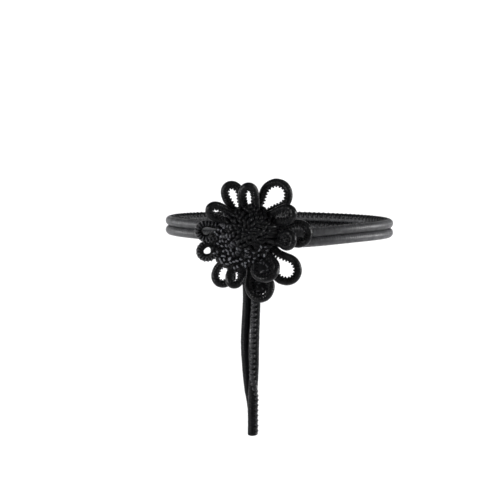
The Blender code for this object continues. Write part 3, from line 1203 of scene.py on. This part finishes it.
class ROPEBELT_OT_loops(Operator):
    """Build the fourteen loops of the flower"""

    bl_idname = "rope_belt.loops"
    bl_label = "Flower loops"

    def execute(self, context):
        for seed, loop in enumerate(LOOPS, 31):
            name = loop["name"]
            line = loop_line(loop)
            lace = loop_lace()
            if name in LACED_ROOTS:
                # Their lace is paled as painted glints on the stitches
                lace["painted_highlight_gain"] = ROOT_LACE_PAINTED_GLINT
                lace["width"] *= LACED_LOOP_LACE
                lace["reach"] = math.radians(LACED_ROOTS[name])
            make_cord(name, line, LOOP_WIDTH, lace, loop_leather(), "loop_leather", seed)
            if name in FILLED_LOOPS:
                self.inner_bight(name, line, seed)
        return {"FINISHED"}

    def inner_bight(self, name, line, seed):
        """A bight as wide as the loop's opening, a little behind its limbs, with a few loose stitches."""
        half = len(line.centre) // 2
        near = line.centre[:half]
        far = line.centre[::-1][:half]
        axis = (near + far) / 2
        room = np.linalg.norm(near - far, axis=1) / 2 - LOOP_WIDTH / 2
        from_tip = np.linalg.norm(axis - axis[-1], axis=1)
        last = int(np.argmin(np.abs(from_tip - INNER_SHORT * LOOP_WIDTH)))
        axis = axis[: last + 1]
        picked = np.linspace(0, last, INNER_RINGS).astype(int)
        shape = new_shape()
        dots = new_shape()
        draws = random.Random(seed)
        places = []
        for step, number in enumerate(picked):
            share = step / (len(picked) - 1)
            rounding = max(0.0, (share - INNER_ROUND) / (1 - INNER_ROUND))
            half_width = (max(0.0, room[number]) + INNER_PRESS) * math.sqrt(max(0.04, 1 - rounding**2))
            half_height = min(half_width, LOOP_WIDTH / 2) * 0.9
            middle = Vector(axis[number]) - FRONT * INNER_BACK
            ahead = ahead_at(axis, number)
            up = square_to(ahead, FRONT)
            places.append(ring_place(middle, ahead, up, half_width, half_height))
            if share > INNER_STITCHED:
                off = up.cross(ahead) * half_width * draws.uniform(-0.5, 0.5)
                spot = turned_place(middle + off + up * half_height * 0.93, up, draws.uniform(0, 3.1))
                bight(dots, spot, *INNER_STITCH)
        add_tube(shape, places, PLAIN_COLUMNS)
        finish_mesh(name + "_inner_bight", shape, knot_leather(), "loop_leather")
        # The loose stitches are paled as painted glints
        finish_mesh(name + "_inner_bight_lacing", dots, lace_leather(ROOT_LACE_PAINTED_GLINT), "loop_leather")


class ROPEBELT_OT_knot(Operator):
    """Build the knot's woven middle"""

    bl_idname = "rope_belt.knot"
    bl_label = "Knot middle"

    def execute(self, context):
        sizes = context.scene.rope_belt_sizes
        self.core()
        self.roots()
        for name, count, side, seed in (
            ("knot_bights_front", sizes.front_bights, -1, 61),
            ("knot_bights_back", sizes.back_bights, 1, 62),
        ):
            self.bights(name, count, side, seed, sizes)
        self.low_bights(sizes)
        return {"FINISHED"}

    def core(self):
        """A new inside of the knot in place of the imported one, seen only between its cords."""
        shape = bmesh.new()
        turned = Matrix.Rotation(math.pi / 2, 4, "X")
        place = Matrix.Translation(KNOT_MIDDLE) @ Matrix.Diagonal((*(KNOT_SIZE * 0.95), 1)) @ turned
        bmesh.ops.create_uvsphere(shape, u_segments=40, v_segments=24, radius=1, matrix=place)
        # Its leather is darkened as painted shade, seen between the knot's cords
        finish_mesh("knot_core", shape, painted_shade_core_leather(), "knot_leather", "knot_centre")

    def roots(self):
        """The limbs that are drawn together over the knot's edge, into its middle."""
        shape = new_shape()
        legs = new_shape()
        lace = loop_lace()
        thin = dict(lace, width=lace["width"] * ROOT_LACE, reach=math.radians(ROOT_LACE_REACH))
        draws = random.Random(51)
        for loop in LOOPS:
            swirl = draws.uniform(-5, 5)
            laced = loop["name"] in LACED_ROOTS
            if not laced and loop["name"] not in PLAIN_ROOTS:
                continue
            for side in (1, -1):
                line = self.root_line(loop, side, swirl)
                self.root_cord(shape, line)
                if laced:
                    lacing(legs, line, LOOP_WIDTH * 0.84, thin, loop["root"], 0.1, 0.9)
        finish_mesh("knot_roots", shape, knot_leather(), "knot_leather")
        # The roots' lace is paled as painted glints
        finish_mesh("knot_roots_lacing", legs, lace_leather(ROOT_LACE_PAINTED_GLINT), "knot_leather")

    def root_line(self, loop, side, swirl):
        """From inside a limb, forward over the knot's edge and in towards its middle."""
        route = []
        for share in ROOT_STOPS:
            reach = share * KNOT_RADIUS
            foot = loop["foot"] * LIMB_SPACING / 2 * min(1.0, reach / ROOT_RADIUS) ** 0.8
            turn = math.radians(loop["root"] + swirl * max(0.0, 1 - share) / 0.6) + side * foot / reach
            if share > ROOT_EDGE:
                x = KNOT_PLACE_X + reach * math.cos(turn)
                z = KNOT_PLACE_Z + reach * math.sin(turn)
                route.append(Vector((x, loop["layer_y"], z)))
            else:
                place, normal = dome_place(share, turn, -1)
                route.append(place - normal * (ROOT_SINK if share == ROOT_STOPS[-1] else 0.0))
        points = even_points(smooth_route(route), SLEEVE_STEP)
        away = points - np.array(KNOT_MIDDLE)
        quarter = np.cross(away, np.gradient(points, axis=0))
        return make_line(points, away, quarter, 0, LOOP_WIDTH, loop_lace()["pitch"])

    def root_cord(self, shape, line):
        """A plain cord that narrows towards the knot's middle."""
        picked = np.linspace(0, len(line.centre) - 1, ROOT_RINGS).astype(int)
        places = []
        for number in picked:
            centre, ahead, seam = (Vector(rows[number]) for rows in (line.centre, line.ahead, line.seam))
            half = LOOP_WIDTH / 2 * (0.97 - 0.35 * number / picked[-1])
            places.append(ring_place(centre, ahead, seam, half, half))
        add_tube(shape, places, PLAIN_COLUMNS)

    def bights(self, name, count, side, seed, sizes):
        """Short bights in an even spiral, each turned its own way, packed over one face of the knot."""
        shape = new_shape()
        draws = random.Random(seed)
        for number in range(count):
            radius = BIGHT_COVER * math.sqrt((number + 0.5) / count)
            angle = GOLDEN_ANGLE * number
            spin = angle + draws.uniform(-1.0, 1.0) * (1.3 - 0.6 * radius)
            raised = draws.uniform(-0.0002, 0.0010)
            longer = draws.uniform(0.85, 1.25)
            wider = draws.uniform(0.85, 1.12)
            curl = draws.uniform(-0.0010, 0.0010)
            degrees = math.degrees(angle) % 360
            taken = any(low < degrees < high for low, high in ROOT_SECTORS)
            if side < 0 and taken and radius > ROOT_SECTORS_FROM:
                continue
            place, normal = dome_place(radius, angle, side)
            spot = turned_place(place + normal * raised, normal, spin)
            length = sizes.bight_length * longer
            bight(shape, spot, length, sizes.bight_width * wider, BIGHT_HEIGHT, curl)
        finish_mesh(name, shape, knot_leather(), "knot_leather")

    def low_bights(self, sizes):
        """Layers of small bights over the limbs at the lower left, the top ones with a glint-painted stitch.
        """
        shape = new_shape()
        dots = new_shape()
        draws = random.Random(63)
        degrees, reaches, limbs = zip(*LOW_BIGHTS_EDGE)
        for layer, (raised, wide) in enumerate(LOW_BIGHTS_LAYERS):
            for number in range(sizes.low_bights):
                radius = LOW_BIGHTS_REACH * math.sqrt((number + 0.5) / sizes.low_bights)
                radius += draws.uniform(-0.05, 0.05)
                angle = GOLDEN_ANGLE * (number + 0.37 * layer) + draws.uniform(-0.06, 0.06)
                spin = angle + draws.uniform(-1.3, 1.3)
                longer = draws.uniform(0.7, 1.0)
                dot_spin = spin + draws.uniform(0.6, 2.2)
                dot_length = draws.uniform(*DOT_LENGTHS)
                dotted = draws.random() < DOT_SHARE
                turned = math.degrees(angle) % 360
                if not LOW_BIGHTS_START < radius < np.interp(turned, degrees, reaches):
                    continue
                place, normal = self.low_place(radius, angle, np.interp(turned, degrees, limbs))
                base = place + normal * raised
                spot = turned_place(base, normal, spin)
                length = sizes.bight_length * longer
                bight(shape, spot, length, sizes.bight_width * wide, BIGHT_HEIGHT, 0.0)
                if dotted and layer == len(LOW_BIGHTS_LAYERS) - 1:
                    spot = turned_place(base + normal * DOT_RAISE, normal, dot_spin)
                    bight(dots, spot, dot_length, DOT_WIDTH, DOT_HEIGHT, 0.0)
        finish_mesh("knot_bights_low", shape, knot_leather(), "knot_leather")
        # The stitches are paled as painted glints
        finish_mesh("knot_bights_low_lacing", dots, lace_leather(DOT_PAINTED_GLINT), "knot_leather")

    def low_place(self, radius, angle, forward):
        """A point on the knot, or past its edge on the limbs, and the direction away from them there."""
        flat = min(radius, LOW_BIGHTS_DOME)
        place, normal = dome_place(flat, angle, -1)
        past = (radius - flat) / (LOW_BIGHTS_REACH - flat)
        back = BACK_LAYER_Y - LOOP_WIDTH / 2
        front = FRONT_LAYER_Y - LOOP_WIDTH / 2 - LOW_BIGHTS_LIFT
        place += (radius - flat) * KNOT_RADIUS * Vector((math.cos(angle), 0, math.sin(angle)))
        place.y += (back + (front - back) * forward - place.y) * min(1.0, past * 1.6)
        return place, normal.lerp(FRONT, min(1.0, past * 2)).normalized()


class ROPEBELT_PT_panel(Panel):
    """Lists the belt's sizes, finishes and pieces"""

    bl_label = "Rope Belt"
    bl_idname = "ROPEBELT_PT_panel"
    bl_space_type = "VIEW_3D"
    bl_region_type = "UI"
    bl_category = "Rope Belt"

    def draw(self, context):
        scene = context.scene
        for group in (scene.rope_belt_sizes, scene.rope_belt_finish, scene.rope_belt_stage):
            box = self.layout.box()
            for name in group.__annotations__:
                box.prop(group, name)
        for operator in OPERATORS:
            self.layout.operator(operator.bl_idname)


GROUPS = (RopeBeltSizes, RopeBeltFinish, RopeBeltStage)
OPERATORS = (
    ROPEBELT_OT_studio,
    ROPEBELT_OT_tails,
    ROPEBELT_OT_strands,
    ROPEBELT_OT_loops,
    ROPEBELT_OT_knot,
)


def register():
    for one in (*GROUPS, *OPERATORS, ROPEBELT_PT_panel):
        bpy.utils.register_class(one)
    bpy.types.Scene.rope_belt_sizes = PointerProperty(type=RopeBeltSizes)
    bpy.types.Scene.rope_belt_finish = PointerProperty(type=RopeBeltFinish)
    bpy.types.Scene.rope_belt_stage = PointerProperty(type=RopeBeltStage)


def unregister():
    del bpy.types.Scene.rope_belt_stage
    del bpy.types.Scene.rope_belt_finish
    del bpy.types.Scene.rope_belt_sizes
    for one in reversed((*GROUPS, *OPERATORS, ROPEBELT_PT_panel)):
        bpy.utils.unregister_class(one)


def main():
    """Registers the add-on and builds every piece."""
    register()
    bpy.ops.rope_belt.studio()
    bpy.ops.rope_belt.tails()
    bpy.ops.rope_belt.strands()
    bpy.ops.rope_belt.loops()
    bpy.ops.rope_belt.knot()


if __name__ == "__main__":
    main()
